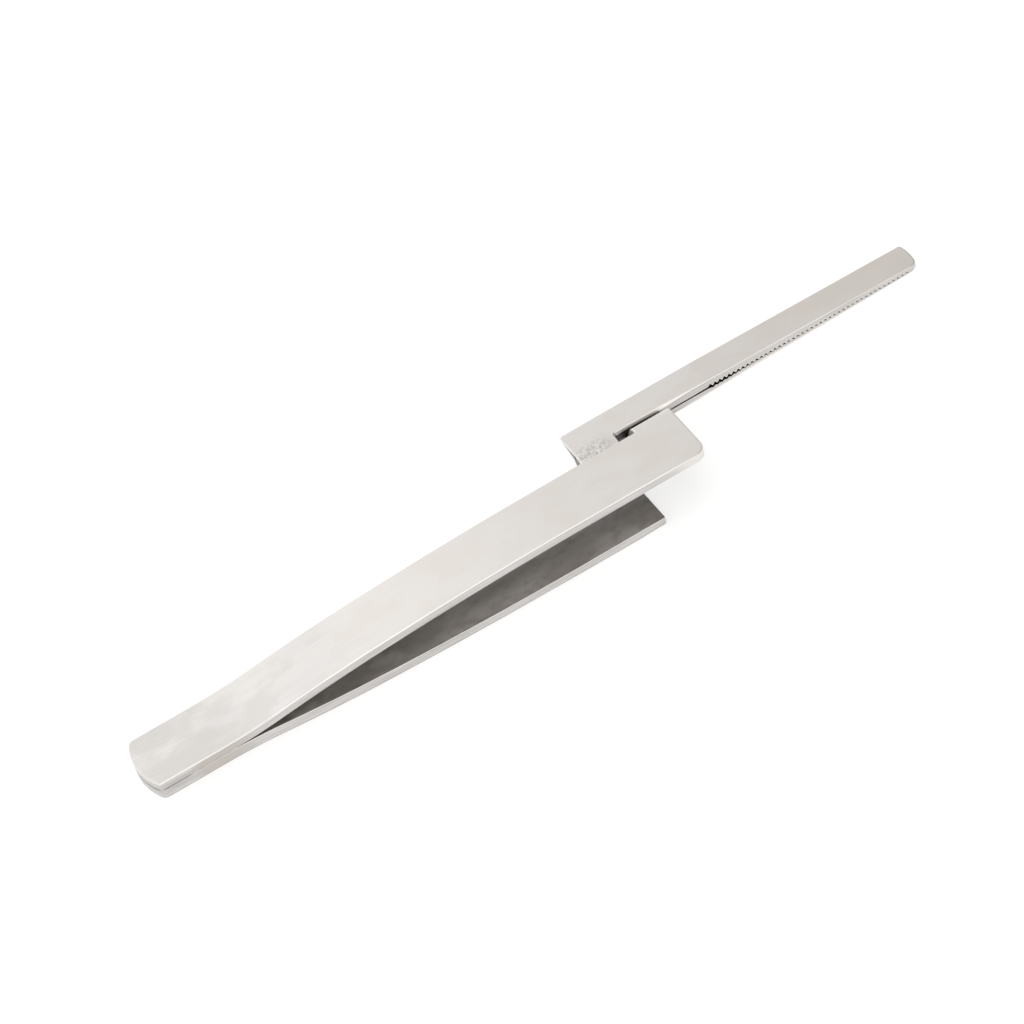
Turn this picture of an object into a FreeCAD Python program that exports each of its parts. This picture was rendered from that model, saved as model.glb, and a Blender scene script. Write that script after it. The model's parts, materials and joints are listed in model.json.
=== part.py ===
"""Cross-action forceps of sheet steel: two bent blades, welded together at the rear end.

Each blade is one strip: a wide handle, an offset crossover and a narrow toothed jaw. The crossovers
swap sides, so the upper handle carries the lower jaw and the lower handle carries the upper jaw.
Squeezing the handles opens the jaws, and the blades' own spring closes them.

Drafting frame, mm: X runs from the welded rear end to the jaw tips, Y across the handles towards the
jaws, Z up, and the jaws close on Z = 0. Every shape is drawn once for the blade that has the upper
handle, and mirrored in Z for the other. The last step moves the origin to the middle of the object.
"""
import FreeCAD, Part
import math
import os

# Sheet and handles
sheet = 1.57
handle_width = 12.0
rear_bulge = 1.5
weld_land = 11.4
upper_handle_end = 103.5
lower_handle_end = 93.2
front_corner_radius = 2.2

# The handle's bends: where each arc ends, and the slope of the blade there in degrees
bend_stations = [(weld_land, 0.0), (22.4, 6.75), (42.1, 3.35), (79.3, 0.0)]

# Jaws
jaw_width = 5.95
jaw_near_side = 11.85
jaw_tip = 155.0
upper_jaw_start = 87.4
lower_jaw_start = 94.2
jaw_root_end = 112.0
jaw_tip_thickness = 0.9
root_gap = 0.2
tip_gap = 0.05
gap_closed = 128.0
tip_bulge = 0.35
tip_corner_radius = 0.9

# Teeth: ridges across the jaws that mesh when they close
tooth_count = 44
tooth_pitch = 0.906
first_tooth = 112.82
tooth_height = 0.42
tooth_flat = 0.12

# Crossovers: an S bend in the sheet, from its rear edge to its front edge
front_crossover = (96.4, upper_handle_end)
rear_crossover = (upper_jaw_start, 94.8)
crossover_bend_radius = 2.2

# Flexure: where each blade turns as it bends
flexure_x = 36.0
flexure_radius = 1.0
flexure_clearance = 0.05

# Welds
nugget_centres = [3.0, 7.5]
nugget_radius = 1.6
nugget_depth = 0.3
fillet_stations = [weld_land, 14.0, 17.0]

margin = 5.0
half_width = handle_width / 2.0
jaw_far_side = jaw_near_side + jaw_width


def point(x, y, z):
    return FreeCAD.Vector(x, y, z)


def face_from(edges):
    return Part.Face(Part.Wire(edges))


def line(a, b):
    return Part.LineSegment(a, b).toShape()


def arc(a, b, c):
    return Part.Arc(a, b, c).toShape()


def polygon(corners):
    return Part.Face(Part.makePolygon(corners + [corners[0]]))


class Bend:
    """One circular arc of the handle's inner face, from one station to the next."""

    def __init__(self, start_x, start_z, start_slope, end_x, end_slope):
        self.start_x = start_x
        self.start_z = start_z
        self.start_angle = math.radians(start_slope)
        self.end_x = end_x
        self.end_angle = math.radians(end_slope)
        self.radius = (end_x - start_x) / (math.sin(self.end_angle) - math.sin(self.start_angle))

    def at(self, angle, offset):
        """The point where the blade's slope is angle, offset outwards from the inner face."""
        x = self.start_x + self.radius * (math.sin(angle) - math.sin(self.start_angle))
        z = self.start_z + self.radius * (math.cos(self.start_angle) - math.cos(angle))
        return point(x - offset * math.sin(angle), 0, z + offset * math.cos(angle))

    def angle_at(self, x):
        return math.asin(math.sin(self.start_angle) + (x - self.start_x) / self.radius)

    def edge(self, offset):
        middle = (self.start_angle + self.end_angle) / 2.0
        return arc(self.at(self.start_angle, offset), self.at(middle, offset),
                   self.at(self.end_angle, offset))


def make_bends():
    bends = []
    height = 0.0
    for (start_x, start_slope), (end_x, end_slope) in zip(bend_stations, bend_stations[1:]):
        bend = Bend(start_x, height, start_slope, end_x, end_slope)
        height = bend.at(bend.end_angle, 0).z
        bends.append(bend)
    return bends


bends = make_bends()
handle_height = bends[-1].at(0, 0).z
flexure_bend = [bend for bend in bends if bend.start_x < flexure_x < bend.end_x][0]
flexure_angle = flexure_bend.angle_at(flexure_x)
flexure_pivot = flexure_bend.at(flexure_angle, sheet / 2.0)


def blade_side(offset):
    """The edges of one face of the handle from the rear end to the last bend."""
    rear = point(-rear_bulge - margin, 0, offset)
    return [line(rear, point(weld_land, 0, offset))] + [bend.edge(offset) for bend in bends]


def handle_outline(end_x):
    """The handle seen from above: a curved rear end and a rounded corner at the front near side."""
    corner = front_corner_radius
    turn = corner * (1 - math.sqrt(0.5))
    rear_far = point(0, half_width, 0)
    rear_near = point(0, -half_width, 0)
    front_far = point(end_x, half_width, 0)
    return face_from([
        arc(rear_far, point(-rear_bulge, 0, 0), rear_near),
        line(rear_near, point(end_x - corner, -half_width, 0)),
        arc(point(end_x - corner, -half_width, 0), point(end_x - turn, -half_width + turn, 0),
            point(end_x, -half_width + corner, 0)),
        line(point(end_x, -half_width + corner, 0), front_far),
        line(front_far, rear_far)])


def make_handle(end_x):
    """The whole handle of the upper side, from the rear end to end_x."""
    inner_end = point(end_x + margin, 0, handle_height)
    outer_end = point(end_x + margin, 0, handle_height + sheet)
    inner = blade_side(0.0)
    outer = blade_side(sheet)
    rear = line(point(-rear_bulge - margin, 0, 0), point(-rear_bulge - margin, 0, sheet))
    inner.append(line(bends[-1].at(0, 0), inner_end))
    outer.append(line(bends[-1].at(0, sheet), outer_end))
    profile = face_from(inner + [line(inner_end, outer_end)] + outer[::-1] + [rear])
    profile.translate(point(0, -half_width - margin, 0))
    plate = profile.extrude(point(0, handle_width + 2 * margin, 0))
    return plate.common(handle_outline(end_x).extrude(point(0, 0, margin + handle_height)))


def flexure_region(radius):
    """Everything ahead of the flexure, with a round end of the given radius about its pivot."""
    reach = jaw_tip
    block = Part.makeBox(reach, 4 * handle_width, 4 * handle_width,
                         point(0, -2 * handle_width, -2 * handle_width))
    block.rotate(point(0, 0, 0), point(0, 1, 0), -math.degrees(flexure_angle))
    block.translate(flexure_pivot)
    knuckle = Part.makeCylinder(radius, 2 * handle_width, flexure_pivot - point(0, handle_width, 0),
                                point(0, 1, 0))
    return block.fuse(knuckle)


def make_nuggets():
    """Spot welds: one round nugget at each centre, half in each blade."""
    nuggets = [Part.makeCylinder(nugget_radius, 2 * nugget_depth, point(x, 0, -nugget_depth))
               for x in nugget_centres]
    return Part.makeCompound(nuggets)


def make_weld_fillet():
    """Weld metal in the narrow crotch between the blades, up to the last station.

    Its flat faces are tangent to the blades' first bend, so they touch it and never cut into it.
    """
    bend = bends[0]
    upper = []
    for start_x, end_x in zip(fillet_stations, fillet_stations[1:]):
        start_angle = bend.angle_at(start_x)
        end_angle = bend.angle_at(end_x)
        start = bend.at(start_angle, 0)
        end = bend.at(end_angle, 0)
        rise = end.z - start.z - (end.x - start.x) * math.tan(end_angle)
        x = start.x + rise / (math.tan(start_angle) - math.tan(end_angle))
        upper.append(point(x, -half_width, start.z + (x - start.x) * math.tan(start_angle)))
    upper.append(end - point(0, half_width, 0))
    lower = [point(corner.x, corner.y, -corner.z) for corner in upper[:0:-1]]
    return polygon(upper + lower).extrude(point(0, handle_width, 0))


def make_crossover(start_x, end_x):
    """The S bend from the upper handle's far edge down to the lower jaw's near edge."""
    run = jaw_near_side - half_width
    top = handle_height + sheet / 2.0
    bottom = -(root_gap + sheet) / 2.0
    drop = top - bottom
    radius = crossover_bend_radius
    slack = 2 * radius - drop
    slope = math.asin(2 * radius / math.hypot(run, slack)) - math.atan2(slack, run)

    def side(offset):
        """One face of the S: offset is half the sheet, upwards or downwards."""
        upper = point(start_x, half_width, top - radius)
        lower = point(start_x, jaw_near_side, bottom + radius)

        def upper_at(angle):
            reach = radius + offset
            return upper + point(0, reach * math.sin(angle), reach * math.cos(angle))

        def lower_at(angle):
            reach = radius - offset
            return lower - point(0, reach * math.sin(angle), reach * math.cos(angle))

        return [arc(upper_at(0), upper_at(slope / 2), upper_at(slope)),
                line(upper_at(slope), lower_at(slope)),
                arc(lower_at(slope), lower_at(slope / 2), lower_at(0))]

    above = side(sheet / 2.0)
    under = side(-sheet / 2.0)
    handle_joint = line(point(start_x, half_width, top + sheet / 2.0),
                        point(start_x, half_width, top - sheet / 2.0))
    jaw_joint = line(point(start_x, jaw_near_side, bottom + sheet / 2.0),
                     point(start_x, jaw_near_side, bottom - sheet / 2.0))
    profile = face_from([handle_joint] + under + [jaw_joint] + above[::-1])
    return profile.extrude(point(end_x - start_x, 0, 0))


def gap_at(x):
    """The gap between the closed jaws, which narrows over their first teeth."""
    share = min(1.0, max(0.0, (x - jaw_root_end) / (gap_closed - jaw_root_end)))
    return root_gap + share * (tip_gap - root_gap)


def jaw_inner_face(start_x, ridge_first):
    """Corners of the lower jaw's gripping face, a row of flat-topped ridges and sharp grooves."""
    corners = [(start_x, -root_gap / 2.0), (first_tooth, -gap_at(first_tooth) / 2.0)]
    flat = tooth_flat / 2.0
    for step in range(2 * tooth_count):
        x = first_tooth + (step + 1) * tooth_pitch / 2.0
        level = -gap_at(x) / 2.0
        if (step % 2 == 0) == ridge_first:
            peak = level + tooth_height / 2.0 * (1 - 2 * tooth_flat / tooth_pitch)
            corners.append((x - flat, peak))
            corners.append((x + flat, peak))
        else:
            corners.append((x, level - tooth_height / 2.0))
    end_x = first_tooth + (tooth_count + 0.5) * tooth_pitch
    corners.append((end_x, -gap_at(end_x) / 2.0))
    corners.append((jaw_tip + margin, -gap_at(jaw_tip) / 2.0))
    return corners


def jaw_outline(start_x):
    """The jaw seen from above: square at the root, softly rounded at the tip."""
    corner = tip_corner_radius
    tip_radius = ((jaw_width / 2.0) ** 2 + tip_bulge ** 2) / (2 * tip_bulge)
    middle = jaw_near_side + jaw_width / 2.0
    centre = jaw_tip - tip_radius
    shift = jaw_width / 2.0 - corner
    corner_x = centre + math.sqrt((tip_radius - corner) ** 2 - shift ** 2)
    lean = math.asin(shift / (tip_radius - corner))

    def tip_corner(side):
        y = middle + side * shift
        half = (math.pi / 2 + lean) / 2
        return [point(corner_x, y + side * corner, 0),
                point(corner_x + corner * math.cos(half), y + side * corner * math.sin(half), 0),
                point(corner_x + corner * math.cos(lean), y + side * corner * math.sin(lean), 0)]

    far = tip_corner(1)
    near = tip_corner(-1)
    root_far = point(start_x, jaw_far_side, 0)
    root_near = point(start_x, jaw_near_side, 0)
    return face_from([line(root_near, near[0]), arc(*near), arc(near[2], point(jaw_tip, middle, 0), far[2]),
                      arc(*far), line(far[0], root_far), line(root_far, root_near)])


def make_jaw(start_x, ridge_first):
    """The lower jaw: a tapered strip with ridges across its upper face."""
    outer_root = -(root_gap / 2.0 + sheet)
    taper = (jaw_tip_thickness - sheet) / (jaw_tip - jaw_root_end)
    outer_tip = outer_root - taper * (jaw_tip + margin - jaw_root_end)
    inner = [point(x, 0, z) for x, z in jaw_inner_face(start_x, ridge_first)]
    outer = [point(jaw_tip + margin, 0, outer_tip), point(jaw_root_end, 0, outer_root),
             point(start_x, 0, outer_root)]
    profile = polygon(inner + outer)
    profile.translate(point(0, jaw_near_side, 0))
    strip = profile.extrude(point(0, jaw_width, 0))
    outline = jaw_outline(start_x)
    outline.translate(point(0, 0, -margin))
    return strip.common(outline.extrude(point(0, 0, 2 * margin)))


def mirrored(shape):
    return shape.mirror(point(0, 0, 0), point(0, 0, 1))


def split_handle(end_x):
    """The handle's fixed tail and its moving front, which meet at the flexure's round faces."""
    plate = make_handle(end_x)
    tail = plate.cut(flexure_region(flexure_radius + flexure_clearance)).cut(make_nuggets())
    front = plate.common(flexure_region(flexure_radius))
    return tail, front


def export(name, shape):
    shape = shape.copy()
    middle_x = (jaw_tip - rear_bulge) / 2.0
    middle_y = (jaw_far_side - half_width) / 2.0
    shape.translate(point(-middle_x, -middle_y, 0))
    solids = shape.Solids
    sound = all(solid.isValid() and solid.isClosed() for solid in solids)
    box = shape.BoundBox
    print("%-16s solids %d sound %s volume %8.2f  x %7.2f %7.2f  y %6.2f %6.2f  z %6.2f %6.2f" % (
        name, len(solids), sound, shape.Volume, box.XMin, box.XMax, box.YMin, box.YMax, box.ZMin,
        box.ZMax))
    result = solids[0] if len(solids) == 1 else Part.makeCompound(solids)
    result.exportStep("parts/" + name + ".step")


def main():
    os.makedirs("parts", exist_ok=True)
    upper_tail, upper_handle = split_handle(upper_handle_end)
    lower_tail, lower_handle = split_handle(lower_handle_end)
    export("upper_tail", upper_tail)
    export("lower_tail", mirrored(lower_tail))
    export("spot_welds", make_nuggets())
    export("crotch_weld", make_weld_fillet())
    export("upper_handle", upper_handle)
    export("front_crossover", make_crossover(*front_crossover))
    export("lower_jaw", make_jaw(lower_jaw_start, True))
    export("lower_handle", mirrored(lower_handle))
    export("rear_crossover", mirrored(make_crossover(*rear_crossover)))
    export("upper_jaw", mirrored(make_jaw(upper_jaw_start, False)))
    print("flexure pivot x %.3f z %.3f, handle gap %.3f" % (
        flexure_pivot.x - (jaw_tip - rear_bulge) / 2.0, flexure_pivot.z, 2 * handle_height))


main()
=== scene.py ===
"""Cross-action forceps of brushed steel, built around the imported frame.

The blades are drawn in millimetres in their own drafting frame: X from the welded rear end to
the jaw tips, Y across the handles towards the jaws, Z up, with the jaws closing on Z = 0. A blade
starts as a flat blank with rounded edges, whose points are (x, s, h): x along it, s across it in
the flat sheet, h up through the sheet. Bending the blank gives the upper handle's blade, and
mirroring it in Z gives the lower handle's.
"""
import json
import math

import bmesh
import bpy
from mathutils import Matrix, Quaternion, Vector
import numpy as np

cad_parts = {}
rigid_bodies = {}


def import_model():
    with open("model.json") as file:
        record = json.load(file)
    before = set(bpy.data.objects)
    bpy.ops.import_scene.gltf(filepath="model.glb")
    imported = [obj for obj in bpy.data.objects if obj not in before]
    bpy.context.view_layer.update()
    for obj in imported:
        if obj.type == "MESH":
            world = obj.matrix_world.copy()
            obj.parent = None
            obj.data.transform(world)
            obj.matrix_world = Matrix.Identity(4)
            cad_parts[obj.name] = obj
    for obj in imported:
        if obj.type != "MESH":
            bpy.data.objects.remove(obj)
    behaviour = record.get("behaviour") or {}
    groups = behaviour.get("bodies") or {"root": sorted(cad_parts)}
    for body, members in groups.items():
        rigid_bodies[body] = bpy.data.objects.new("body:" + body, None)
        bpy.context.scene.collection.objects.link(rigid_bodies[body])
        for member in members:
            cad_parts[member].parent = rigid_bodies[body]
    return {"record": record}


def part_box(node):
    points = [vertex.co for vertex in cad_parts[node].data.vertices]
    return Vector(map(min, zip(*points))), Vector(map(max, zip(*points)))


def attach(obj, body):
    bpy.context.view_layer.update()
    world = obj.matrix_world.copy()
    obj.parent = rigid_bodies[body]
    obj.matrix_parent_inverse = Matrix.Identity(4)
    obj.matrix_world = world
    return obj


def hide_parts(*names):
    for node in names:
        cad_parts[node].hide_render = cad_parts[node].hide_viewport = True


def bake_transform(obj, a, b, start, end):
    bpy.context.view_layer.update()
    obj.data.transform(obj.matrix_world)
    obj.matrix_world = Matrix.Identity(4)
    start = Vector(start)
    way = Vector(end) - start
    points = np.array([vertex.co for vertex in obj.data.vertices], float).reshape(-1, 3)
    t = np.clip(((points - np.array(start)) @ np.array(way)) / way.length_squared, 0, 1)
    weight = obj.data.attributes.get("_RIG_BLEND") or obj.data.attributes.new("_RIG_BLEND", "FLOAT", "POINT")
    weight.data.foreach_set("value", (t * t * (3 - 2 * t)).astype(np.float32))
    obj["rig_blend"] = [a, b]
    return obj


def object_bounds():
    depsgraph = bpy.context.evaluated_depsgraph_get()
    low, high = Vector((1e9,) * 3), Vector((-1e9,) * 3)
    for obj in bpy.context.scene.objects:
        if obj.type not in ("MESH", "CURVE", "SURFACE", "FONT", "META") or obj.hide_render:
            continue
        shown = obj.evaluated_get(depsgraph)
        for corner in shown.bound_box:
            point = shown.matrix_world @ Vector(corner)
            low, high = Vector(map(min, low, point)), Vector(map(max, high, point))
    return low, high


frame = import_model()
cad_low, cad_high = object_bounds()
MM = 0.001

# ---------------------------------------------------------------- sizes, mm
SHEET = 1.57
REAR_BULGE = 1.5
WELD_LAND = 11.4
BEND_STATIONS = [(WELD_LAND, 0.0), (22.4, 6.75), (42.1, 3.35), (79.3, 0.0)]
CROSSOVER_BEND = 2.2
JAW_ROOT_END = 112.0
JAW_TIP_THICKNESS = 0.9
ROOT_GAP = 0.2
TIP_GAP = 0.05
GAP_CLOSED = 128.0
TOOTH_COUNT = 44
TOOTH_PITCH = 0.906
FIRST_TOOTH = 112.82
TOOTH_HEIGHT = 0.42
TOOTH_FLAT = 0.12
TIP_BULGE = 0.35

# Small features that only the looks need. A pair whose name ends in _X, _S, _H or _SHARE says
# where along that direction the feature starts and where it is complete.
GRIP_RELIEF = 0.02
ROOT_RELIEF = 0.03
TOOTH_RELIEF = 0.14
RELIEF_RISE_X = (112.3, 113.2)
RELIEF_FADE_X = (114.8, 122.0)
CREST_CUT = 0.17
GROOVE_DEPTH = 1.6
JAW_REAR_EXTRA = 0.25
LOWER_SWELL = 0.4
SWELL_FADE_X = (18.0, 75.0)
END_UNDERCUT = (-0.55, 1.1)
UNDERCUT_REACH = 3.0

# The blanks' ends: how far they run out of square, and where their corners lie
UPPER_FRONT_SKEW = 0.35
UPPER_FRONT_EXTRA = 0.05
LOWER_FRONT_SKEW = 0.1
LOWER_FRONT_EXTRA = 0.3
LOWER_FRONT_STEP = 2.0
UPPER_TIP_INSET = 0.3
TIP_SKEW = 0.12

# The blanks' corner radii: near is the handle's side, far the jaw's side
UPPER_FRONT_NEAR = 2.2
UPPER_FRONT_FAR = 1.0
LOWER_FRONT_NEAR = 0.35
LOWER_FRONT_FAR = 0.8
LOWER_STEP_CORNER = 1.0
INSIDE_CORNER = 0.3
TIP_NEAR = 1.5
TIP_FAR = 0.65
HEEL_FAR = 0.7
UPPER_HEEL_NEAR = 0.4
LOWER_HEEL_NEAR = 0.5
UPPER_REAR_NEAR = 0.35
LOWER_REAR_NEAR = 1.3
REAR_FAR = 1.2

# Rounded edges of the face that is outermost on the handle; a pair without a direction in its
# name is a width and a height
GRIP_EDGE = 0.05
NEAR_SIDE_S = (-4.5, 0.0)
LOWER_EDGE = 0.25
LOWER_EDGE_GAIN = 0.15
LOWER_GAIN_X = (10.0, 50.0)
LOWER_EDGE_LOSS = 0.12
LOWER_LOSS_X = (70.0, 88.0)
LOWER_CORNER_GAIN = (0.25, 0.45)
LOWER_CORNER_X = (90.0, 92.5)
UPPER_EDGE = (0.14, 0.16)
UPPER_NEAR_GAIN = (0.06, 0.10)
UPPER_TAIL_GAIN = (0.0, 0.08)
UPPER_TAIL_X = (0.0, 45.0)
UPPER_CORNER_LOSS = (0.08, 0.13)
UPPER_CORNER_X = (93.0, 101.5)

# Rounded and chamfered edges of the other face, which is outermost on the jaw
INNER_EDGE = 0.10
LOWER_JAW_GAIN = 0.08
LOWER_END_GAIN = (0.05, 0.08)
LOWER_BESIDE_GAIN = (0.20, 0.46)
LOWER_BESIDE_X = (104.0, 109.0)
LOWER_CHAMFER = 0.7
UPPER_JAW_GAIN = 0.10
UPPER_BEVEL = (0.25, 0.35)
UPPER_BEVEL_GAIN = (0.15, 0.55)
UPPER_BEVEL_X = (JAW_ROOT_END - 10, JAW_ROOT_END + 12)
UPPER_CHAMFER = 0.8

# How finely the blanks are divided
CORNER_STEPS = 8
EDGE_STEPS = 5
END_CORNER_STEPS = 6
END_STEPS = 14
SUPPORT = 0.12
MITRE_LIMIT = 0.5
OUTLINE_STEP = 5.0
TAIL_SLICE_START = -1.0
TAIL_SLICE = 3.0
BENT_SLICE_END = 82.0
BENT_SLICE = 1.0
ARC_SLICE = 0.22
SLOPE_SLICE = 0.8
SHARP_ANGLE = 30.0

# Where the sheet's two faces begin, for the attribute that marks the inside
LOW_FACE_H = (0.0, 0.06)
TOP_FACE_H = (SHEET - 0.04, SHEET)

# What each vertex of a blade carries for its material, besides its place in the flat blank; the last layer
# is how far its colour is darkened as painted shade
BLANK_LAYERS = ("inner", "ground", "painted_shade")

# Tolerances: a point this near a line is on it, and this near the gripping face has its teeth
ON_LINE = 1e-4
ON_FACE = 0.001
JUST_SHORT = 0.999999

tail_low, tail_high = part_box("upper_tail")
jaw_low, jaw_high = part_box("upper_jaw")
upper_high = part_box("upper_handle")[1]
lower_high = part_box("lower_handle")[1]
heel_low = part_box("lower_jaw")[0]
front_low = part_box("front_crossover")[0]
rear_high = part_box("rear_crossover")[1]
weld_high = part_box("crotch_weld")[1]

origin_x = tail_low.x + REAR_BULGE * MM
origin_y = (tail_low.y + tail_high.y) / 2


def draft_x(x):
    return (x - origin_x) / MM


HALF_WIDTH = (tail_high.y - tail_low.y) / 2 / MM
JAW_NEAR = (jaw_low.y - origin_y) / MM
JAW_WIDTH = (jaw_high.y - jaw_low.y) / MM
JAW_TIP = draft_x(jaw_high.x)
JAW_START = draft_x(jaw_low.x)
HANDLE_HEIGHT = upper_high.z / MM - SHEET
FLEXURE_X = frame["record"]["behaviour"]["joints"][0]["pos_m"][0]
BLEND_REACH = 19.0


# ---------------------------------------------------------------- bending the blank
class Bend:
    """One circular arc of the handle's inner face."""

    def __init__(self, start_x, start_z, start_slope, end_x, end_slope):
        self.start_x = start_x
        self.start_z = start_z
        self.start_angle = math.radians(start_slope)
        self.end_x = end_x
        self.end_angle = math.radians(end_slope)
        self.radius = (end_x - start_x) / (math.sin(self.end_angle) - math.sin(self.start_angle))

    def at(self, x, offset):
        angle = math.asin(math.sin(self.start_angle) + (x - self.start_x) / self.radius)
        z = self.start_z + self.radius * (math.cos(self.start_angle) - math.cos(angle))
        return x - offset * math.sin(angle), z + offset * math.cos(angle)


def make_bends():
    bends = []
    height = 0.0
    for (start_x, start_slope), (end_x, end_slope) in zip(BEND_STATIONS, BEND_STATIONS[1:]):
        bend = Bend(start_x, height, start_slope, end_x, end_slope)
        height = bend.at(end_x, 0)[1]
        bends.append(bend)
    return bends


BENDS = make_bends()

# The crossover's S bend: its slope and its developed length
RUN = JAW_NEAR - HALF_WIDTH
TOP = HANDLE_HEIGHT + SHEET / 2
BOTTOM = -(ROOT_GAP + SHEET) / 2
SLACK = 2 * CROSSOVER_BEND - (TOP - BOTTOM)
SLOPE = math.asin(2 * CROSSOVER_BEND / math.hypot(RUN, SLACK)) - math.atan2(SLACK, RUN)
BEND_LENGTH = CROSSOVER_BEND * SLOPE
STRAIGHT = (RUN * math.cos(SLOPE) + (TOP - BOTTOM) * math.sin(SLOPE)
            - 2 * CROSSOVER_BEND * math.sin(SLOPE))
CROSSOVER = 2 * BEND_LENGTH + STRAIGHT
JAW_S = HALF_WIDTH + CROSSOVER
FAR_S = JAW_S + JAW_WIDTH


def smooth(value, low, high):
    """0 below low and 1 above high, with an easy curve between them."""
    share = min(1.0, max(0.0, (value - low) / (high - low)))
    return share * share * (3 - 2 * share)


def fading(value, low, high):
    return 1 - smooth(value, low, high)


def handle_point(x, s, h):
    for bend in BENDS:
        if bend.start_x < x <= bend.end_x:
            bent_x, z = bend.at(x, h)
            return Vector((bent_x, s, z))
    return Vector((x, s, h + (HANDLE_HEIGHT if x > WELD_LAND else 0.0)))


def crossover_point(x, s, h):
    along = s - HALF_WIDTH
    offset = h - SHEET / 2
    if along < BEND_LENGTH:
        angle = along / CROSSOVER_BEND
        reach = CROSSOVER_BEND + offset
        return Vector((x, HALF_WIDTH + reach * math.sin(angle),
                       TOP - CROSSOVER_BEND + reach * math.cos(angle)))
    if along < BEND_LENGTH + STRAIGHT:
        start = crossover_point(x, HALF_WIDTH + BEND_LENGTH * JUST_SHORT, h)
        run = along - BEND_LENGTH
        return start + run * Vector((0, math.cos(SLOPE), -math.sin(SLOPE)))
    angle = (CROSSOVER - along) / CROSSOVER_BEND
    reach = CROSSOVER_BEND - offset
    return Vector((x, JAW_NEAR - reach * math.sin(angle),
                   BOTTOM + CROSSOVER_BEND - reach * math.cos(angle)))


def gap_at(x):
    share = min(1.0, max(0.0, (x - JAW_ROOT_END) / (GAP_CLOSED - JAW_ROOT_END)))
    return ROOT_GAP + share * (TIP_GAP - ROOT_GAP)


def relief_at(x):
    """How far each jaw's inside is eased back, most of all around the first teeth."""
    risen = smooth(x, *RELIEF_RISE_X)
    return (GRIP_RELIEF + ROOT_RELIEF * (1 - risen)
            + TOOTH_RELIEF * risen * fading(x, *RELIEF_FADE_X))


def tooth_at(x, ridge_first):
    """Height of the toothed face above its own level: flat-topped ridges and sharp grooves."""
    steps = (x - FIRST_TOOTH) / (TOOTH_PITCH / 2)
    if steps <= 0 or steps >= 2 * TOOTH_COUNT + 1:
        return 0.0
    phase = steps if ridge_first else steps + 1
    wave = 1 - 2 * abs((phase / 2) % 1.0 - 0.5) * 2
    flank = TOOTH_HEIGHT / 2
    top = flank * (1 - 2 * TOOTH_FLAT / TOOTH_PITCH)
    if ridge_first:
        top -= CREST_CUT
    elif wave < 0:
        flank *= GROOVE_DEPTH
    edge = min(1.0, steps, 2 * TOOTH_COUNT + 1 - steps)
    return min(top, flank * wave) * edge


def jaw_point(x, s, h, ridge_first):
    grip = -gap_at(x) / 2 - relief_at(x)
    taper = max(0.0, (x - JAW_ROOT_END) / (JAW_TIP - JAW_ROOT_END))
    thickness = SHEET + taper * (JAW_TIP_THICKNESS - SHEET)
    outer = -ROOT_GAP / 2 - thickness
    z = outer + (grip - outer) * h / SHEET
    if h > SHEET - GRIP_EDGE - ON_FACE:
        z += tooth_at(x, ridge_first)
    return Vector((x, JAW_NEAR + s - JAW_S, z))


def bent(x, s, h, lower):
    """A point of the bent blade; lower is True for the blade that is then mirrored."""
    if lower and s > JAW_S - BEND_LENGTH:
        across = smooth(s, JAW_S - BEND_LENGTH, FAR_S)
        shift = END_UNDERCUT[0] + across * (END_UNDERCUT[1] - END_UNDERCUT[0])
        x += shift * h / SHEET * fading(x, JAW_START, JAW_START + UNDERCUT_REACH)
    if s <= HALF_WIDTH + ON_LINE:
        if lower:
            h *= 1 + LOWER_SWELL / SHEET * fading(x, *SWELL_FADE_X)
        return handle_point(x, s, h)
    if s < JAW_S - ON_LINE:
        return crossover_point(x, s, h)
    return jaw_point(x, s, h, not lower)


# ---------------------------------------------------------------- the flat blank
def rounded(corners):
    """A closed outline from corners (x, s, radius), each rounded by an arc of its radius."""
    outline = []
    for index, (x, s, radius) in enumerate(corners):
        here = Vector((x, s))
        before = Vector(corners[index - 1][:2]) - here
        after = Vector(corners[(index + 1) % len(corners)][:2]) - here
        if radius == 0:
            outline.append(here)
            continue
        half = before.angle(after) / 2
        setback = radius / math.tan(half)
        middle = (before.normalized() + after.normalized()).normalized()
        centre = here + middle * radius / math.sin(half)
        start = here + before.normalized() * setback - centre
        end = here + after.normalized() * setback - centre
        sweep = start.angle_signed(end)
        for step in range(CORNER_STEPS + 1):
            turn = -sweep * step / CORNER_STEPS
            c = math.cos(turn)
            n = math.sin(turn)
            outline.append(centre + Vector((start.x * c - start.y * n, start.x * n + start.y * c)))
    return outline


def arc_points(centre_x, centre_s, radius, start, end, steps):
    points = []
    for step in range(steps + 1):
        angle = start + (end - start) * step / steps
        points.append((centre_x + radius * math.cos(angle),
                       centre_s + radius * math.sin(angle), 0))
    return points


def bulged_end(bulge, low_s, high_s, low_corner, high_corner):
    """A bulged end of a strip whose apex is at x = 0, from its low side to its high side."""
    half = (high_s - low_s) / 2
    middle = (high_s + low_s) / 2
    radius = (half ** 2 + bulge ** 2) / (2 * bulge)
    ends = []
    for corner in (low_corner, high_corner):
        shift = half - corner
        lean = math.asin(shift / (radius - corner))
        ends.append((shift, lean, (radius - corner) * math.cos(lean) - radius))
    (low_shift, low_lean, low_x), (high_shift, high_lean, high_x) = ends
    quarter = math.pi / 2
    points = arc_points(low_x, middle - low_shift, low_corner, -quarter, -low_lean,
                        END_CORNER_STEPS)
    points += arc_points(-radius, middle, radius, -low_lean, high_lean, END_STEPS)[1:-1]
    return points + arc_points(high_x, middle + high_shift, high_corner, high_lean, quarter,
                               END_CORNER_STEPS)


def divided(outline, step):
    """The same outline with extra points along its long straight stretches."""
    points = []
    for index, here in enumerate(outline):
        following = outline[(index + 1) % len(outline)]
        parts = max(1, math.ceil((following - here).length / step))
        points += [here.lerp(following, part / parts) for part in range(parts)]
    return points


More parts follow.
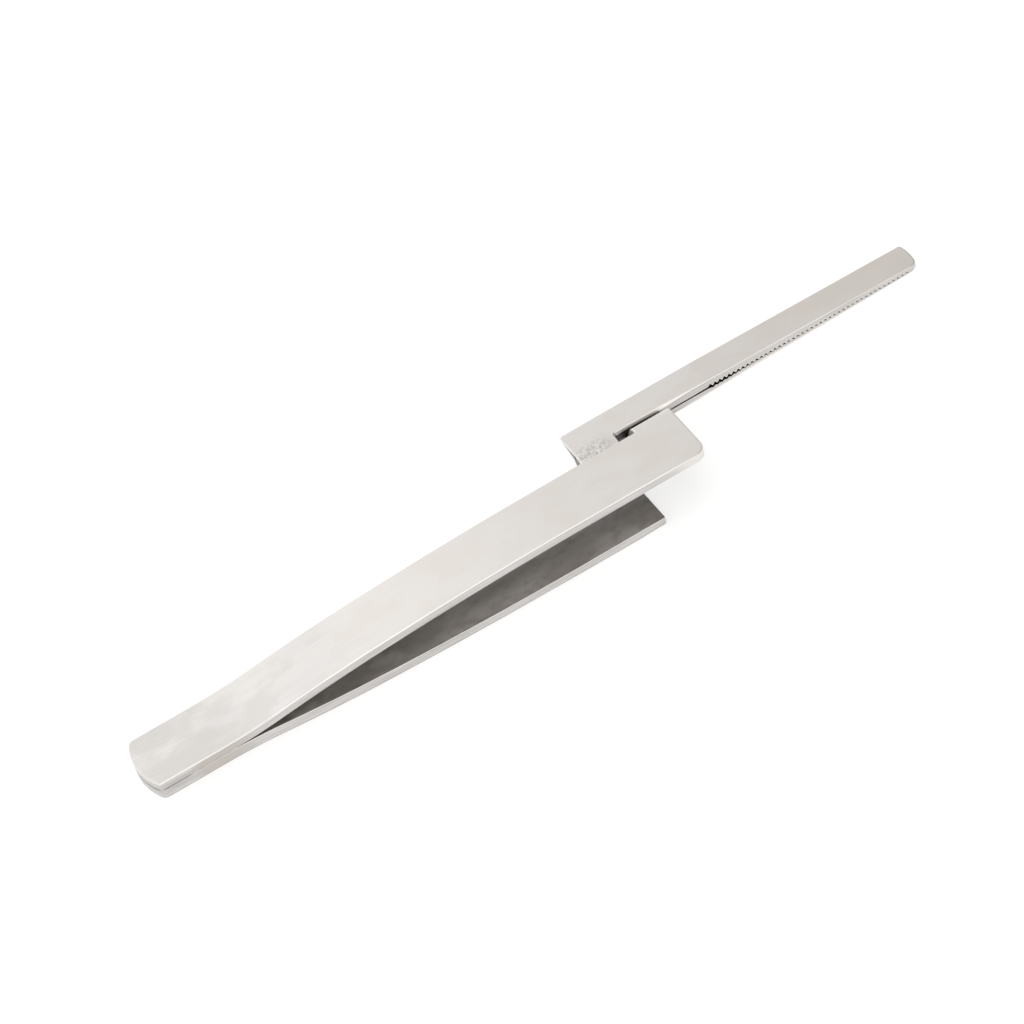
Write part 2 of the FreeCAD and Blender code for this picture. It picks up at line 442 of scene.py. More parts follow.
def outer_edge(x, s, lower):
    """Width and height of the rounded edge of the face that is outermost on the handle."""
    near = fading(s, *NEAR_SIDE_S)
    if lower:
        radius = (LOWER_EDGE + LOWER_EDGE_GAIN * smooth(x, *LOWER_GAIN_X)
                  - LOWER_EDGE_LOSS * smooth(x, *LOWER_LOSS_X))
        corner = near * smooth(x, *LOWER_CORNER_X)
        return [radius + gain * corner for gain in LOWER_CORNER_GAIN]
    tail = near * fading(x, *UPPER_TAIL_X)
    corner = near * smooth(x, *UPPER_CORNER_X)
    return [edge + near_gain * near + tail_gain * tail - loss * corner
            for edge, near_gain, tail_gain, loss
            in zip(UPPER_EDGE, UPPER_NEAR_GAIN, UPPER_TAIL_GAIN, UPPER_CORNER_LOSS)]


def inner_edge(x, s, jaw, lower):
    """Width, height and chamfer of the edge of the face that is outermost on the jaw."""
    if lower:
        end = fading(x, JAW_START + 0.2, JAW_START + 1.5)
        beside = smooth(s, JAW_S - 0.6, JAW_S - 0.1) * fading(s, JAW_S + 0.5, JAW_S + 2.0)
        beside *= fading(x, *LOWER_BESIDE_X) * (1 - end)
        width, height = [INNER_EDGE + jaw * (LOWER_JAW_GAIN + at_end * end + gain * beside)
                         for at_end, gain in zip(LOWER_END_GAIN, LOWER_BESIDE_GAIN)]
        return width, height, LOWER_CHAMFER * beside
    near = jaw * fading(s, JAW_S + 0.8, JAW_S + 3.0)
    tip = smooth(x, *UPPER_BEVEL_X)
    width, height = [INNER_EDGE + jaw * UPPER_JAW_GAIN + near * (bevel + gain * tip)
                     for bevel, gain in zip(UPPER_BEVEL, UPPER_BEVEL_GAIN)]
    return width, height, UPPER_CHAMFER * near


def edge_size(x, s, top, lower):
    """Width and height of the sheet's rounded edge, and how far it is a flat chamfer.

    top is the side that faces out on the handle and grips on the jaw.
    """
    jaw = smooth(s, HALF_WIDTH + 1, JAW_S - 1)
    if not top:
        return inner_edge(x, s, jaw, lower)
    width, height = outer_edge(x, s, lower)
    return width + jaw * (GRIP_EDGE - width), height + jaw * (GRIP_EDGE - height), 0.0


def blank_rings(outline, lower):
    """Closed rings of points from the middle of the lower face, round the edge, to the upper one.

    Each point has its share of the ground edge as a fourth number: 1 on the side, 0 on a face.
    """
    count = len(outline)
    normals = []
    for index, here in enumerate(outline):
        before = (here - outline[index - 1]).normalized()
        after = (outline[(index + 1) % count] - here).normalized()
        mean = (before + after).normalized()
        stretch = 1 / max(MITRE_LIMIT, math.sqrt((1 + before.dot(after)) / 2))
        normals.append(Vector((-mean.y, mean.x)) * stretch)
    steps = [(False, EDGE_STEPS + 1 - i) for i in range(EDGE_STEPS + 2)]
    steps += [(True, i) for i in range(EDGE_STEPS + 2)]
    rings = []
    for top, step in steps:
        ring = []
        turn = min(1.0, step / EDGE_STEPS)
        for here, inward in zip(outline, normals):
            width, height, chamfer = edge_size(here.x, here.y, top, lower)
            across = (1 - chamfer) * (1 - math.cos(turn * math.pi / 2)) + chamfer * turn
            down = (1 - chamfer) * (1 - math.sin(turn * math.pi / 2)) + chamfer * (1 - turn)
            inset = width * across + (SUPPORT if step > EDGE_STEPS else 0)
            place = here + inward * inset
            drop = height * down
            ring.append((place.x, place.y, SHEET - drop if top else drop, 1 - turn))
        rings.append(ring)
    return rings


# Painted shade: the steel's colour is darkened to stand in for shade in the rear seam's groove between the
# tails, along the lower blade's rounded under-edge, by the jaws' near sides beside the crossovers, and on
# the upper jaw's rear end
SEAM_H = (0.02, 0.13)
SEAM_X = (4.8, 6.2)
SEAM_S = (3.0, 6.5)
SEAM_SHARE = (0.02, 0.3)
SEAM_FAR_LOSS = 0.5
UNDER_IN_SHARE = (0.0, 0.2)
UNDER_OUT_SHARE = (0.72, 0.99)
UNDER_DARK = 0.65
BESIDE_X = (103.0, 105.5)
JAW_END_DARK = 0.6
SIDE_SHARE = (0.80, 0.98)


def painted_shade_at(x, s, h, share, lower):
    """How far a point's colour is darkened as painted shade.

    share is the point's share of the ground edge: 1 on the side, 0 on a face.
    """
    if s <= HALF_WIDTH:
        seam = (fading(h, *SEAM_H) * fading(x, *SEAM_X)
                * (1 - smooth(s, *SEAM_S) * SEAM_FAR_LOSS))
        seam *= smooth(share, *SEAM_SHARE)
        under = 0.0
        if lower and h > SHEET / 2:
            under = fading(share, *UNDER_OUT_SHARE) * smooth(share, *UNDER_IN_SHARE)
        return max(seam, UNDER_DARK * under)
    beside = smooth(s, JAW_S - 0.4, JAW_S - 0.1) * fading(s, JAW_S + 0.3, JAW_S + 0.8)
    beside *= fading(x, *BESIDE_X)
    end = JAW_END_DARK * fading(x, JAW_START + 0.4, JAW_START + 1.0) if lower else 0.0
    depth = smooth(s, HALF_WIDTH + 0.3, HALF_WIDTH + 1.5) * smooth(share, *SIDE_SHARE)
    return depth * max(beside, end)


def slice_at(bm, positions, axis):
    normal = Vector((0, 0, 0))
    normal[axis] = 1
    for position in positions:
        bmesh.ops.bisect_plane(bm, geom=bm.verts[:] + bm.edges[:] + bm.faces[:], dist=1e-5,
                               plane_co=normal * position, plane_no=normal)


def spaced(start, end, step):
    count = max(1, round((end - start) / step))
    return [start + (end - start) * index / count for index in range(count + 1)]


def tooth_stations(ridge_first):
    stations = []
    for step in range(2 * TOOTH_COUNT + 2):
        x = FIRST_TOOTH + step * TOOTH_PITCH / 2
        ridge = (step % 2 == 1) == ridge_first
        inside = 0 < step < 2 * TOOTH_COUNT + 1
        stations += [x - TOOTH_FLAT / 2, x + TOOTH_FLAT / 2] if ridge and inside else [x]
    return stations


def to_frame(point):
    return Vector((origin_x + point.x * MM, origin_y + point.y * MM, point.z * MM))


def blank_mesh(outline, lower):
    """The flat blank as a closed mesh, each vertex with its share of the ground edge."""
    bm = bmesh.new()
    bm.verts.layers.float_vector.new("flat")
    for layer in BLANK_LAYERS:
        bm.verts.layers.float.new(layer)
    ground = bm.verts.layers.float["ground"]
    loops = []
    for ring in blank_rings(outline, lower):
        loop = []
        for x, s, h, share in ring:
            vert = bm.verts.new((x, s, h))
            vert[ground] = share
            loop.append(vert)
        loops.append(loop)
    count = len(outline)
    for under, over in zip(loops, loops[1:]):
        for index in range(count):
            following = (index + 1) % count
            bm.faces.new((under[index], under[following], over[following], over[index]))
    bm.faces.new(loops[-1])
    bm.faces.new(loops[0][::-1])
    return bm


def slice_blank(bm, lower):
    """Cuts the blank across wherever it will bend, and at its teeth."""
    slice_at(bm, spaced(TAIL_SLICE_START, WELD_LAND, TAIL_SLICE)
             + spaced(WELD_LAND, BENT_SLICE_END, BENT_SLICE)[1:], 0)
    slice_at(bm, [HALF_WIDTH] + spaced(HALF_WIDTH, HALF_WIDTH + BEND_LENGTH, ARC_SLICE)[1:]
             + spaced(HALF_WIDTH + BEND_LENGTH, JAW_S - BEND_LENGTH, SLOPE_SLICE)[1:]
             + spaced(JAW_S - BEND_LENGTH, JAW_S, ARC_SLICE)[1:], 1)
    slice_at(bm, tooth_stations(not lower), 0)


def make_blade(name, corners, lower):
    bm = blank_mesh(divided(rounded(corners), OUTLINE_STEP), lower)
    slice_blank(bm, lower)
    flat = bm.verts.layers.float_vector["flat"]
    inner, ground, painted_shade = [bm.verts.layers.float[layer] for layer in BLANK_LAYERS]
    for vert in bm.verts:
        x, s, h = vert.co
        vert[flat] = vert.co
        swap = smooth(s, HALF_WIDTH, JAW_S)
        low_face = fading(h, *LOW_FACE_H)
        top_face = smooth(h, *TOP_FACE_H)
        vert[inner] = low_face * (1 - swap) + top_face * swap
        # painted shade: how far this vertex's colour is darkened to stand in for shade
        vert[painted_shade] = painted_shade_at(x, s, h, vert[ground], lower)
        vert.co = bent(x, s, h, lower)
        if lower:
            vert.co.z = -vert.co.z
        vert.co = to_frame(vert.co)
    if lower:
        bmesh.ops.reverse_faces(bm, faces=bm.faces[:])
    return finish_mesh(bm, name)


def finish_mesh(bm, name):
    bm.normal_update()
    for face in bm.faces:
        face.smooth = True
    for edge in bm.edges:
        if len(edge.link_faces) == 2:
            edge.smooth = edge.calc_face_angle(0.0) < math.radians(SHARP_ANGLE)
    mesh = bpy.data.meshes.new(name)
    bm.to_mesh(mesh)
    bm.free()
    piece = bpy.data.objects.new(name, mesh)
    bpy.context.scene.collection.objects.link(piece)
    return piece


def rear_end(near_corner):
    """The blank's curved rear end, from its far side to its near side."""
    end = bulged_end(REAR_BULGE, -HALF_WIDTH, HALF_WIDTH, near_corner, REAR_FAR)
    return [(-REAR_BULGE - x, s, 0) for x, s, _ in reversed(end)]


def tip_end(inset):
    """The jaw's tip, from its near side to its far side, a little out of square."""
    end = bulged_end(TIP_BULGE, JAW_S + inset, FAR_S, TIP_NEAR, TIP_FAR)
    middle = (JAW_S + FAR_S) / 2
    return [(JAW_TIP + x - TIP_SKEW * (1 - 2 * (s - middle) / JAW_WIDTH), s, 0)
            for x, s, _ in end]


def upper_corners():
    """The upper handle's blade, counter-clockwise from the handle's front near corner."""
    front = draft_x(upper_high.x)
    back = draft_x(front_low.x)
    heel = draft_x(heel_low.x)
    return ([(front - UPPER_FRONT_SKEW / 2, -HALF_WIDTH, UPPER_FRONT_NEAR),
             (front + UPPER_FRONT_SKEW, JAW_S + UPPER_FRONT_EXTRA, UPPER_FRONT_FAR)]
            + tip_end(UPPER_TIP_INSET)
            + [(heel, FAR_S, HEEL_FAR), (heel, JAW_S, UPPER_HEEL_NEAR),
               (back, JAW_S, INSIDE_CORNER), (back, HALF_WIDTH, INSIDE_CORNER)]
            + rear_end(UPPER_REAR_NEAR))


def lower_corners():
    """The lower handle's blade, from the same corner."""
    front = draft_x(lower_high.x)
    edge = draft_x(rear_high.x)
    return ([(front - LOWER_FRONT_SKEW, -HALF_WIDTH, LOWER_FRONT_NEAR),
             (front + LOWER_FRONT_SKEW, HALF_WIDTH + LOWER_FRONT_EXTRA, LOWER_FRONT_FAR),
             (edge, HALF_WIDTH + LOWER_FRONT_STEP, LOWER_STEP_CORNER),
             (edge, JAW_S, INSIDE_CORNER)]
            + tip_end(0.0)
            + [(JAW_START - JAW_REAR_EXTRA, FAR_S, HEEL_FAR),
               (JAW_START, HALF_WIDTH, LOWER_HEEL_NEAR)]
            + rear_end(LOWER_REAR_NEAR))


# ---------------------------------------------------------------- the weld between the tails
WELD_START = 5.2
WELD_STEP = 0.35
WELD_SIDES = 12
WELD_PROUD = 0.012
WELD_OVERLAP = 0.1
START_SUNK = 0.3
START_REACH = 1.6
END_SUNK = 0.75
END_SUNK_FROM = 12.6
SQUARE_ACROSS = 1.02
SQUARE_UP = 1.25


def gap_half(x):
    """Half the gap between the two blades' inner faces."""
    if x <= WELD_LAND:
        return 0.0
    return BENDS[0].at(min(x, BENDS[0].end_x), 0)[1]


def weld_ring(x, end):
    """One cross-section of the weld: a box with blunted corners."""
    sunk = (START_SUNK * fading(x, WELD_START, WELD_START + START_REACH)
            + END_SUNK * smooth(x, END_SUNK_FROM, end))
    half_width = HALF_WIDTH + WELD_PROUD - sunk
    half_height = gap_half(x) + WELD_OVERLAP
    flat_cos = abs(math.cos(math.pi / WELD_SIDES))
    ring = []
    for side in range(WELD_SIDES):
        angle = 2 * math.pi * (side + 0.5) / WELD_SIDES
        across = max(-1.0, min(1.0, SQUARE_ACROSS * math.cos(angle) / flat_cos))
        up = max(-1.0, min(1.0, SQUARE_UP * math.sin(angle)))
        ring.append(Vector((x, half_width * across, half_height * up)))
    return ring


def make_weld(name):
    """Weld metal that fills the seam, ground flush with the sides and drawn in at both ends."""
    end = draft_x(weld_high.x)
    bm = bmesh.new()
    flat = bm.verts.layers.float_vector.new("flat")
    loops = []
    for x in spaced(WELD_START, end, WELD_STEP):
        loop = []
        for point in weld_ring(x, end):
            vert = bm.verts.new(to_frame(point))
            vert[flat] = point
            loop.append(vert)
        loops.append(loop)
    for before, after in zip(loops, loops[1:]):
        for index in range(WELD_SIDES):
            following = (index + 1) % WELD_SIDES
            bm.faces.new((before[index], after[index], after[following], before[following]))
    bm.faces.new(loops[0])
    bm.faces.new(loops[-1][::-1])
    bmesh.ops.recalc_face_normals(bm, faces=bm.faces[:])
    return finish_mesh(bm, name)


# ---------------------------------------------------------------- materials
BUMP_DISTANCE = 0.00002
BUMP_STRENGTH = 0.5


class Nodes:
    """A material's node tree, with short calls to add and join nodes."""

    def __init__(self, name):
        self.material = bpy.data.materials.new(name)
        self.material.use_nodes = True
        self.tree = self.material.node_tree
        self.shader = self.tree.nodes["Principled BSDF"]

    def put(self, value, socket):
        if isinstance(value, bpy.types.NodeSocket):
            self.tree.links.new(value, socket)
        else:
            socket.default_value = value

    def attribute(self, name, output):
        node = self.tree.nodes.new("ShaderNodeAttribute")
        node.attribute_name = name
        return node.outputs[output]

    def scaled(self, vector, scale, turn=0.0):
        node = self.tree.nodes.new("ShaderNodeMapping")
        self.put(vector, node.inputs["Vector"])
        node.inputs["Rotation"].default_value = (0, 0, math.radians(turn))
        node.inputs["Scale"].default_value = scale
        return node.outputs["Vector"]

    def noise(self, vector, detail=4.0, roughness=0.55):
        node = self.tree.nodes.new("ShaderNodeTexNoise")
        self.put(vector, node.inputs["Vector"])
        node.inputs["Scale"].default_value = 1.0
        node.inputs["Detail"].default_value = detail
        node.inputs["Roughness"].default_value = roughness
        return node.outputs["Fac"]

    def math(self, operation, a, b):
        node = self.tree.nodes.new("ShaderNodeMath")
        node.operation = operation
        for value, socket in zip((a, b), node.inputs):
            self.put(value, socket)
        return node.outputs[0]

    def ramp(self, value, low, high, to_low=0.0, to_high=1.0):
        node = self.tree.nodes.new("ShaderNodeMapRange")
        node.interpolation_type = "SMOOTHSTEP"
        for item, socket in zip((value, low, high, to_low, to_high), node.inputs):
            self.put(item, socket)
        return node.outputs["Result"]

    def mix(self, factor, a, b, blend="MIX"):
        node = self.tree.nodes.new("ShaderNodeMix")
        node.data_type = "RGBA"
        node.blend_type = blend
        self.put(factor, node.inputs[0])
        self.put(a, node.inputs[6])
        self.put(b, node.inputs[7])
        return node.outputs[2]

    def bump(self, height):
        node = self.tree.nodes.new("ShaderNodeBump")
        self.put(height, node.inputs["Height"])
        node.inputs["Distance"].default_value = BUMP_DISTANCE
        node.inputs["Strength"].default_value = BUMP_STRENGTH
        return node.outputs["Normal"]

    def combined(self, value):
        node = self.tree.nodes.new("ShaderNodeCombineColor")
        for socket in node.inputs[:3]:
            self.put(value, socket)
        return node.outputs[0]

    def axis(self, vector, name):
        node = self.tree.nodes.new("ShaderNodeSeparateXYZ")
        self.put(vector, node.inputs[0])
        return node.outputs[name]


def grey(value, warm=0.0):
    return (value * (1 + warm), value, value * (1 - warm), 1)


# Steel tones: each is a grey value and how far it leans from blue to red
SATIN = grey(0.80, 0.040)
SATIN_BRIGHT = grey(0.83, 0.022)
SATIN_WARM = grey(0.77, 0.065)
BRUSH_LINE = grey(0.62, 0.03)
TAIL_COOL = grey(0.66, 0.015)
JAW_WARM = grey(0.74, 0.08)
# Painted shade and painted highlights of the dents where the rear crossover is bent, following the dents'
# bump
DENT_PAINTED_SHADE = grey(0.56, 0.05)
DENT_PAINTED_HIGHLIGHT = grey(0.90, 0.03)
SLOPE_SHADE = grey(0.40, 0.05)
# Inside tones: unpolished steel, darkened further as painted shade from the gap between the blades
INSIDE_DARK = grey(0.30, 0.07)
INSIDE_LIGHT = grey(0.38, 0.05)
INSIDE_PATCH = grey(0.24, 0.09)
# Painted shade: the jaws' gripping faces, nearly black so that the closed seam between the jaws reads dark
GRIP_PAINTED_SHADE = grey(0.05, 0.05)
# Side tones: darker than the faces, partly from the grind and partly as painted shade
SIDE_DARK = grey(0.47, 0.05)
SIDE_LIGHT = grey(0.64, 0.02)
SIDE_STRAW = grey(0.45, 0.085)
# Painted light: brightens the sides at the handle's front corner to the top's tone
SIDE_CORNER_PAINTED_LIGHT = grey(0.72, 0.04)
# Painted shade: the near-black tones mixed in where the blank's painted shade layer is set
PAINTED_SHADE_DARK = grey(0.04, 0.05)
PAINTED_SHADE_LIGHT = grey(0.12, 0.05)
WELD_GREY = grey(0.52, 0.04)
WELD_STRAW = grey(0.44, 0.10)
WELD_PIT = grey(0.40, 0.08)

# Noise scales along x, s and h, per millimetre
ALONG_SCALE = (0.09, 5.5, 5.5)
ACROSS_SCALE = (0.25, 3.2, 3.2)
GRAIN_SCALE = (5.0, 9.0, 9.0)
CLOUD_SCALE = (0.10, 0.19, 0.19)
PATCH_SCALE = (0.35, 0.5, 0.5)
DENT_SCALE = (1.3, 1.9, 1.9)
BLOTCH_SCALE = (0.16, 0.24, 0.24)
ALONG_TURN = 1.5
ACROSS_TURN = 66
PATCH_TURN = 20
DENT_DEPTH = 16.0


class Blade:
    """The noises and attributes that the parts of the blade's material share."""

    def __init__(self, n):
        flat = n.attribute("flat", "Vector")
        self.inner = n.attribute("inner", "Fac")
        self.ground = n.attribute("ground", "Fac")
        # how far the colour is darkened as painted shade
        self.painted_shade = n.attribute("painted_shade", "Fac")
        self.x = n.axis(flat, "X")
        self.s = n.axis(flat, "Y")
        self.along = n.noise(n.scaled(flat, ALONG_SCALE, ALONG_TURN), 6.0, 0.7)
        self.across = n.noise(n.scaled(flat, ACROSS_SCALE, ACROSS_TURN), 5.0, 0.65)
        self.grain = n.noise(n.scaled(flat, GRAIN_SCALE), 3.0, 0.6)
        self.clouds = n.noise(n.scaled(flat, CLOUD_SCALE), 3.0, 0.5)
        self.patches = n.noise(n.scaled(flat, PATCH_SCALE, PATCH_TURN), 4.0, 0.6)
        self.dents = n.noise(n.scaled(flat, DENT_SCALE), 5.0, 0.7)
        self.blotches = n.noise(n.scaled(flat, BLOTCH_SCALE, PATCH_TURN), 3.0, 0.5)
        self.formed = self.formed_patch(n)
        self.lines = self.brush_lines(n)

    def formed_patch(self, n):
        """The mottled patch where the rear crossover is bent into the jaw."""
        formed = n.math("MULTIPLY", n.ramp(self.s, HALF_WIDTH + 2.0, HALF_WIDTH + 5.0),
                        n.ramp(self.s, JAW_S - 0.6, JAW_S + 2.4, 1.0, 0.0))
        return n.math("MULTIPLY", formed, n.ramp(self.x, 91.0, 94.6, 1.0, 0.0))

    def brush_lines(self, n):
        """Across the tail's end, then along the blade and fading towards the jaws."""
        share_along = n.math("MULTIPLY", n.ramp(self.x, 8, 16),
                             n.ramp(self.x, 26, 48, 0.7, 0.22))
        share_across = n.ramp(self.x, 9, 15, 1.0, 0.0)
        lines = n.math("ADD",
                       n.math("MULTIPLY", n.math("SUBTRACT", self.along, 0.5), share_along),
                       n.math("MULTIPLY", n.math("SUBTRACT", self.across, 0.5), share_across))
        return n.math("MAXIMUM", n.math("ADD", lines, 0.5), 0.0)


def outer_colour(n, blade):
    """The faces that look outwards on the handle and the crossover."""
    outer = n.mix(n.ramp(blade.clouds, 0.35, 0.65), SATIN, SATIN_BRIGHT)
    blotch = n.math("MULTIPLY", n.ramp(blade.blotches, 0.42, 0.66),
                    n.ramp(blade.x, 70, 100, 0.6, 0.8))
    outer = n.mix(blotch, outer, SATIN_WARM)
    outer = n.mix(n.ramp(blade.lines, 0.34, 0.60, 0.32, 0.0), outer, BRUSH_LINE)
    outer = n.mix(n.ramp(blade.grain, 0.40, 0.62, 0.16, 0.0), outer, BRUSH_LINE)
    cool = n.math("ADD", n.ramp(blade.blotches, 0.40, 0.60, 0.15, 0.55),
                  n.ramp(blade.x, 14, 30, 0.0, 0.12))
    cool = n.math("MULTIPLY", cool, n.ramp(blade.x, 28, 42, 1.0, 0.0))
    outer = n.mix(cool, outer, TAIL_COOL)
    outer = n.mix(n.ramp(blade.x, 95, 150, 0.0, 0.6), outer, JAW_WARM)
    # painted shade and painted highlights on the formed patch's dents, from the same noise as their bump
    mottle = n.mix(n.ramp(blade.dents, 0.40, 0.60), DENT_PAINTED_SHADE, DENT_PAINTED_HIGHLIGHT)
    outer = n.mix(n.math("MULTIPLY", blade.formed, 0.8), outer, mottle)
    return n.mix(slope_shade(n, blade), outer, SLOPE_SHADE)


def slope_shade(n, blade):
    """How far the front crossover's slope is darkened, beside the gap behind it."""
    shade = n.math("MULTIPLY", n.ramp(blade.s, HALF_WIDTH + 0.2, HALF_WIDTH + 2.0, 0.0, 0.55),
                   n.ramp(blade.x, 99, 103, 1.0, 0.0))
    shade = n.math("MULTIPLY", shade, n.ramp(blade.s, JAW_S - 3.0, JAW_S - 1.0, 1.0, 0.0))
    return n.math("MULTIPLY", shade, n.ramp(blade.x, 95.6, 96.2))


def inside_colour(n, blade):
    """The faces that look at the other blade: unpolished steel darkened further with painted shade from the
    gap between the blades, painted lighter towards the open near side, and nearly black painted shade on the
    jaws' gripping faces.
    """
    inside = n.mix(n.ramp(blade.clouds, 0.40, 0.62), INSIDE_DARK, INSIDE_LIGHT)
    inside = n.mix(n.ramp(blade.patches, 0.45, 0.70, 0.0, 0.7), inside, INSIDE_PATCH)
    # painted light: the inside is lighter towards the open near side, where more light reaches it
    near_side_painted_light = n.ramp(blade.s, -6.0, 0.5, 1.75, 0.68)
    inside = n.mix(1.0, inside, n.combined(near_side_painted_light), "MULTIPLY")
    # painted shade: the jaws' gripping faces are painted nearly black, standing in for the shade between the
    # closed jaws
    return n.mix(n.ramp(blade.x, 104, 110), inside, GRIP_PAINTED_SHADE)


def side_colour(n, blade):
    """The ground edges, darker than the faces partly from their grind and partly as painted shade, with a
    straw tint from the weld's heat, and painted light at the handle's front corner that brightens the side
    to the top's tone.
    """
    side = n.mix(n.ramp(blade.along, 0.35, 0.65), SIDE_DARK, SIDE_LIGHT)
    straw = n.math("MULTIPLY", n.ramp(blade.x, 5, 8), n.ramp(blade.x, 13, 19, 0.75, 0.0))
    side = n.mix(straw, side, SIDE_STRAW)
    # painted light: the sides at the handle's front corner are brightened to the top's tone
    corner = n.math("MULTIPLY", n.ramp(blade.x, 94, 101),
                    n.ramp(blade.s, HALF_WIDTH, HALF_WIDTH + 2, 1.0, 0.0))
    return n.mix(corner, side, SIDE_CORNER_PAINTED_LIGHT)


def blade_material(name):
    """Satin steel, brushed by hand: along the tail, across its end, smoother further on."""
    n = Nodes(name)
    blade = Blade(n)
    # Painted shade: darken the colour towards near black where the painted shade layer is set
    dark = n.mix(n.ramp(blade.grain, 0.42, 0.60), PAINTED_SHADE_DARK, PAINTED_SHADE_LIGHT)
    colour = n.mix(n.ramp(blade.ground, 0.75, 1.0), outer_colour(n, blade), side_colour(n, blade))
    colour = n.mix(blade.inner, colour, inside_colour(n, blade))
    colour = n.mix(blade.painted_shade, colour, dark)
    n.put(colour, n.shader.inputs["Base Color"])
    n.shader.inputs["Metallic"].default_value = 1.0

    rough = n.math("ADD", n.ramp(blade.clouds, 0.3, 0.7, 0.30, 0.38),
                   n.ramp(blade.lines, 0.3, 0.7, 0.06, -0.03))
    rough = n.math("ADD", rough, n.math("MULTIPLY", blade.inner, 0.12))
    n.put(rough, n.shader.inputs["Roughness"])

    height = n.math("ADD", blade.lines, n.math("MULTIPLY", blade.grain, 0.35))
    dented = n.math("MULTIPLY", n.math("MULTIPLY", blade.dents, DENT_DEPTH), blade.formed)
    n.put(n.bump(n.math("ADD", height, dented)), n.shader.inputs["Normal"])
    return n.material


def weld_material(name, coordinates):
    """Weld metal ground flush, with a straw tint from the heat."""
    n = Nodes(name)
    if coordinates == "flat":
        place = n.attribute("flat", "Vector")
    else:
        node = n.tree.nodes.new("ShaderNodeTexCoord")
        place = n.scaled(node.outputs["Object"], (1 / MM, 1 / MM, 1 / MM))
    lines = n.noise(n.scaled(place, (0.5, 6.0, 6.0)), 5.0, 0.65)
    tint = n.noise(n.scaled(place, (0.55, 0.6, 0.6)), 3.0)
    pits = n.noise(n.scaled(place, (4.0, 4.0, 4.0)), 3.0)
    colour = n.mix(n.ramp(tint, 0.42, 0.62), WELD_GREY, WELD_STRAW)
    colour = n.mix(n.ramp(pits, 0.58, 0.72, 0.0, 0.5), colour, WELD_PIT)
    n.put(colour, n.shader.inputs["Base Color"])
    n.shader.inputs["Metallic"].default_value = 1.0
    n.put(n.ramp(lines, 0.3, 0.7, 0.32, 0.45), n.shader.inputs["Roughness"])
    n.put(n.bump(n.math("ADD", lines, pits)), n.shader.inputs["Normal"])
    return n.material


FLOOR_GLOW = 0.62


def floor_material(name):
    """A matt white sweep with the faintest unevenness, and a glow that keeps it white."""
    n = Nodes(name)
    node = n.tree.nodes.new("ShaderNodeTexCoord")
    cloud = n.noise(n.scaled(node.outputs["Object"], (3, 3, 3)), 2.0)
    n.put(n.mix(n.ramp(cloud, 0.3, 0.7), grey(0.50), grey(0.52)), n.shader.inputs["Base Color"])
    n.shader.inputs["Emission Color"].default_value = grey(1.0)
    n.shader.inputs["Emission Strength"].default_value = FLOOR_GLOW
    n.shader.inputs["Roughness"].default_value = 0.9
    n.shader.inputs["Specular IOR Level"].default_value = 0.2
    return n.material


blade_steel = blade_material("blade_steel")
weld_metal = weld_material("weld_metal", "flat")
nugget_metal = weld_material("nugget_metal", "object")

# ---------------------------------------------------------------- pieces
upper_blade = make_blade("upper_blade_strip", upper_corners(), False)
lower_blade = make_blade("lower_blade_strip", lower_corners(), True)
UPPER_NODES = ("upper_tail", "upper_handle", "front_crossover", "lower_jaw")
LOWER_NODES = ("lower_tail", "lower_handle", "rear_crossover", "upper_jaw")
for piece, body, nodes in ((upper_blade, "upper_blade", UPPER_NODES),
                           (lower_blade, "lower_blade", LOWER_NODES)):
    piece.data.materials.append(blade_steel)
    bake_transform(piece, "tail", body, start=(FLEXURE_X - BLEND_REACH * MM, 0, 0),
             end=(FLEXURE_X + BLEND_REACH * MM, 0, 0))
    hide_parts(*nodes)

seam_weld = make_weld("seam_weld")
seam_weld.data.materials.append(weld_metal)
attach(seam_weld, "tail")
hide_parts("crotch_weld")

for node_object in bpy.data.objects:
    if node_object.type == "MESH" and node_object.name.startswith("spot_welds"):
        for slot in node_object.material_slots:
            slot.material = nugget_metal

# ---------------------------------------------------------------- floor, light, camera
FLOOR_CLEARANCE = 0.0002
FLOOR_SIZE = 4.0
bpy.ops.mesh.primitive_plane_add(size=FLOOR_SIZE, location=(0, 0, cad_low.z - FLOOR_CLEARANCE))
floor = bpy.context.object
floor.name = "floor"
floor.data.materials.append(floor_material("pale_floor"))


# How the tent's strength falls with a direction's X and Y: start, end, and its value at each
TENT_FALLS = (("X", 0.05, 0.5, 1.16, 0.40), ("Y", -0.8, -0.2, 0.45, 0.0))
TENT_COLOUR = (1.0, 0.995, 0.985, 1)


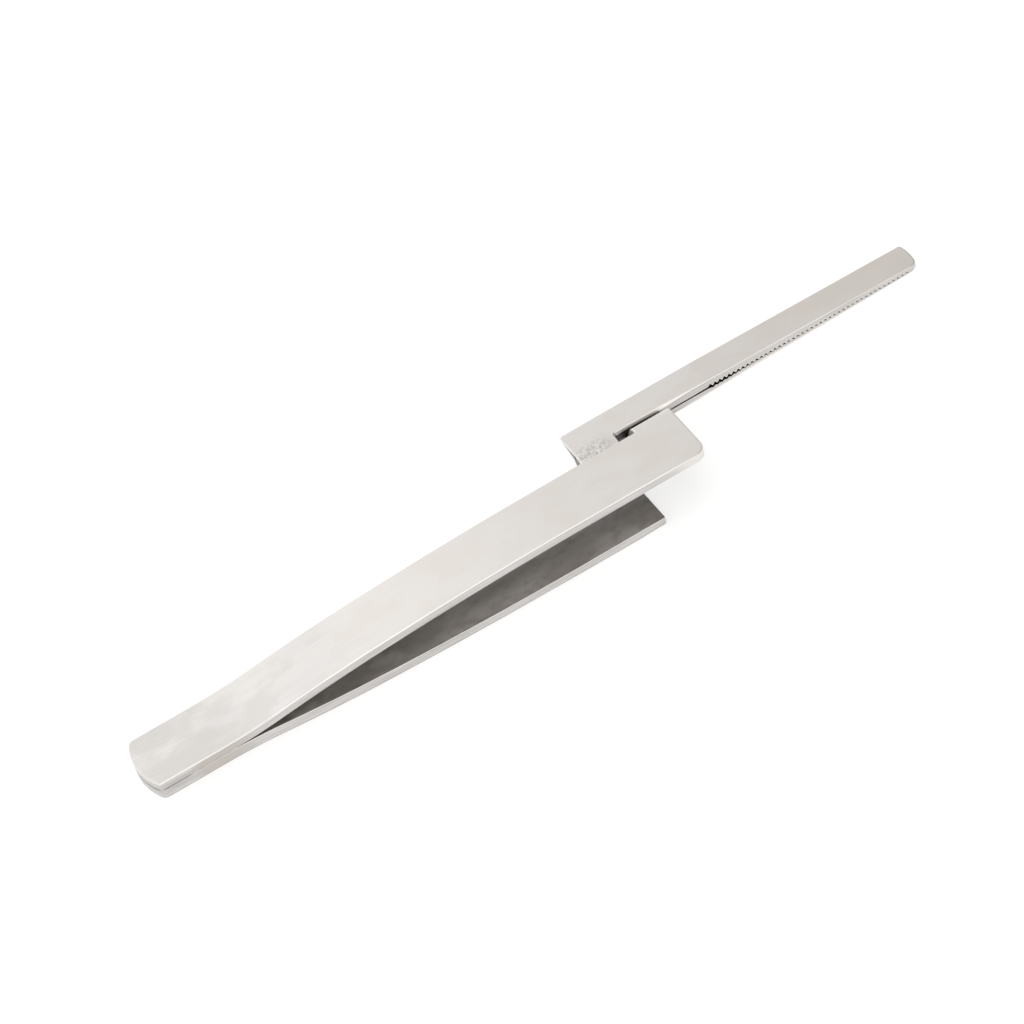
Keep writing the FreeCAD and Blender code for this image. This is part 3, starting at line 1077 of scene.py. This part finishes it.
def studio_world():
    """A white tent: bright behind the camera, and dimmer beyond the tips than beyond the tail."""
    world = bpy.data.worlds.new("studio")
    bpy.context.scene.world = world
    world.use_nodes = True
    tree = world.node_tree
    background = tree.nodes["Background"]
    split = tree.nodes.new("ShaderNodeSeparateXYZ")
    tree.links.new(tree.nodes.new("ShaderNodeTexCoord").outputs["Generated"], split.inputs[0])
    total = tree.nodes.new("ShaderNodeMath")
    for index, (axis, *limits) in enumerate(TENT_FALLS):
        fall = tree.nodes.new("ShaderNodeMapRange")
        fall.interpolation_type = "SMOOTHSTEP"
        tree.links.new(split.outputs[axis], fall.inputs["Value"])
        for name, value in zip(("From Min", "From Max", "To Min", "To Max"), limits):
            fall.inputs[name].default_value = value
        tree.links.new(fall.outputs["Result"], total.inputs[index])
    background.inputs["Color"].default_value = TENT_COLOUR
    tree.links.new(total.outputs[0], background.inputs["Strength"])


studio_world()
bpy.context.scene.view_settings.view_transform = "Standard"

CAMERA_AZIMUTH = -15.30
CAMERA_ELEVATION = 41.85
CAMERA_ROLL = -19.60
CAMERA_DISTANCE = 0.7214
CAMERA_LENS = 155.83
CAMERA_SENSOR = 36.0
CAMERA_SIDE = -0.00462
CAMERA_RISE = 0.00024
camera_data = bpy.data.cameras.new("camera")
camera = bpy.data.objects.new("camera", camera_data)
bpy.context.scene.collection.objects.link(camera)
bpy.context.scene.camera = camera
camera_data.sensor_width = CAMERA_SENSOR
camera_data.lens = CAMERA_LENS
azimuth = math.radians(CAMERA_AZIMUTH)
elevation = math.radians(CAMERA_ELEVATION)
back = Vector((math.sin(azimuth) * math.cos(elevation), -math.cos(azimuth) * math.cos(elevation),
               math.sin(elevation)))
aim = (cad_low + cad_high) / 2
camera.rotation_mode = "QUATERNION"
camera.rotation_quaternion = (-back).to_track_quat("-Z", "Y") @ Quaternion(
    (0, 0, 1), math.radians(CAMERA_ROLL))
camera.location = aim + back * CAMERA_DISTANCE + camera.rotation_quaternion @ Vector(
    (CAMERA_SIDE, CAMERA_RISE, 0))
